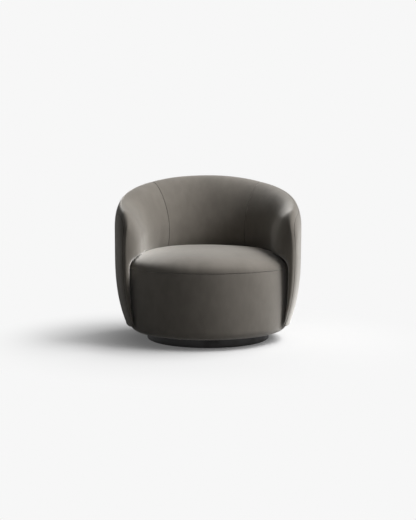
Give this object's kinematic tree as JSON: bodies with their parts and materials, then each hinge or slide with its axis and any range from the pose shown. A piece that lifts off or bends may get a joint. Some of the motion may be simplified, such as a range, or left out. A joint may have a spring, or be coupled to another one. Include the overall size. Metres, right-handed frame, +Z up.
{
  "type": "cuddle chair",
  "caption": "Round swivel cuddle chair in taupe velvet, with a wraparound back and arms, a plump round seat and a low black plinth.",
  "frame": {"origin": "on the swivel axis, on the floor under the plinth", "axes": "+Z up, the seat opens towards -Y, +X to the sitter's left"},
  "size_m": [0.9388, 0.875, 0.824],
  "materials": {
    "velvet": "Smooth taupe-grey velvet with a short upright pile.",
    "black_paint": "Matt black paint.",
    "zinc_steel": "Zinc-plated pressed steel.",
    "spring_steel": "Oiled spring wire.",
    "plywood": "Sawn birch plywood.",
    "timber": "Planed pine.",
    "fibreboard": "Thin hardboard.",
    "grey_felt": "Needled felt.",
    "cream_foam": "Open-cell polyurethane foam.",
    "white_wadding": "Bonded polyester wadding.",
    "black_lining": "Spun-bonded lining cloth."
  },
  "bodies": {
    "base": {"plinth_felt": "grey_felt", "plinth_disc": "black_paint", "swivel_lower_plate": "zinc_steel", "swivel_pivot_pin": "zinc_steel", "lower_plate_screw_1": "zinc_steel", "lower_plate_screw_2": "zinc_steel", "lower_plate_screw_3": "zinc_steel", "lower_plate_screw_4": "zinc_steel"},
    "ball_ring": {"ball_cage": "zinc_steel"},
    "seat": {"seat_top_cover": "velvet", "seat_boxing_cover": "velvet", "inner_back_cover": "velvet", "outer_back_cover": "velvet", "inner_arm_cover_left": "velvet", "inner_arm_cover_right": "velvet", "outer_arm_cover_left": "velvet", "outer_arm_cover_right": "velvet", "swivel_upper_plate": "zinc_steel", "upper_plate_screw_1": "zinc_steel", "upper_plate_screw_2": "zinc_steel", "upper_plate_screw_3": "zinc_steel", "upper_plate_screw_4": "zinc_steel", "shell_bolt_front_left": "zinc_steel", "shell_bolt_back_left": "zinc_steel", "shell_bolt_back_right": "zinc_steel", "shell_bolt_front_right": "zinc_steel", "seat_spring_1": "spring_steel", "seat_spring_2": "spring_steel", "seat_spring_3": "spring_steel", "seat_spring_4": "spring_steel", "seat_spring_5": "spring_steel", "seat_base_board": "plywood", "deck_ring": "plywood", "shell_lower_rail": "plywood", "shell_waist_rail": "plywood", "shell_crest_rail": "plywood", "shell_rib_1": "plywood", "shell_rib_2": "plywood", "shell_rib_3": "plywood", "shell_rib_4": "plywood", "shell_rib_5": "plywood", "shell_rib_6": "plywood", "shell_rib_7": "plywood", "deck_post_1": "timber", "deck_post_2": "timber", "deck_post_3": "timber", "deck_post_4": "timber", "drum_board": "fibreboard", "inner_board": "fibreboard", "outer_board": "fibreboard", "spring_felt": "grey_felt", "seat_foam": "cream_foam", "back_foam": "cream_foam", "arm_foam_left": "cream_foam", "arm_foam_right": "cream_foam", "arm_front_pad_left": "cream_foam", "arm_front_pad_right": "cream_foam", "drum_wadding": "white_wadding", "outer_wadding": "white_wadding", "dust_cover": "black_lining"}
  },
  "joints": [
    {"name": "seat_swivel", "type": "hinge", "parent": "base", "child": "seat", "pos_m": [0, 0, 0.05], "axis": [0, 0, 1], "continuous": true},
    {"name": "ball_ring_turn", "type": "hinge", "parent": "base", "child": "ball_ring", "pos_m": [0, 0, 0.05], "axis": [0, 0, 1], "continuous": true}
  ],
  "couplings": [
    {"joint": "ball_ring_turn", "follows": "seat_swivel", "ratio": 0.5}
  ]
}
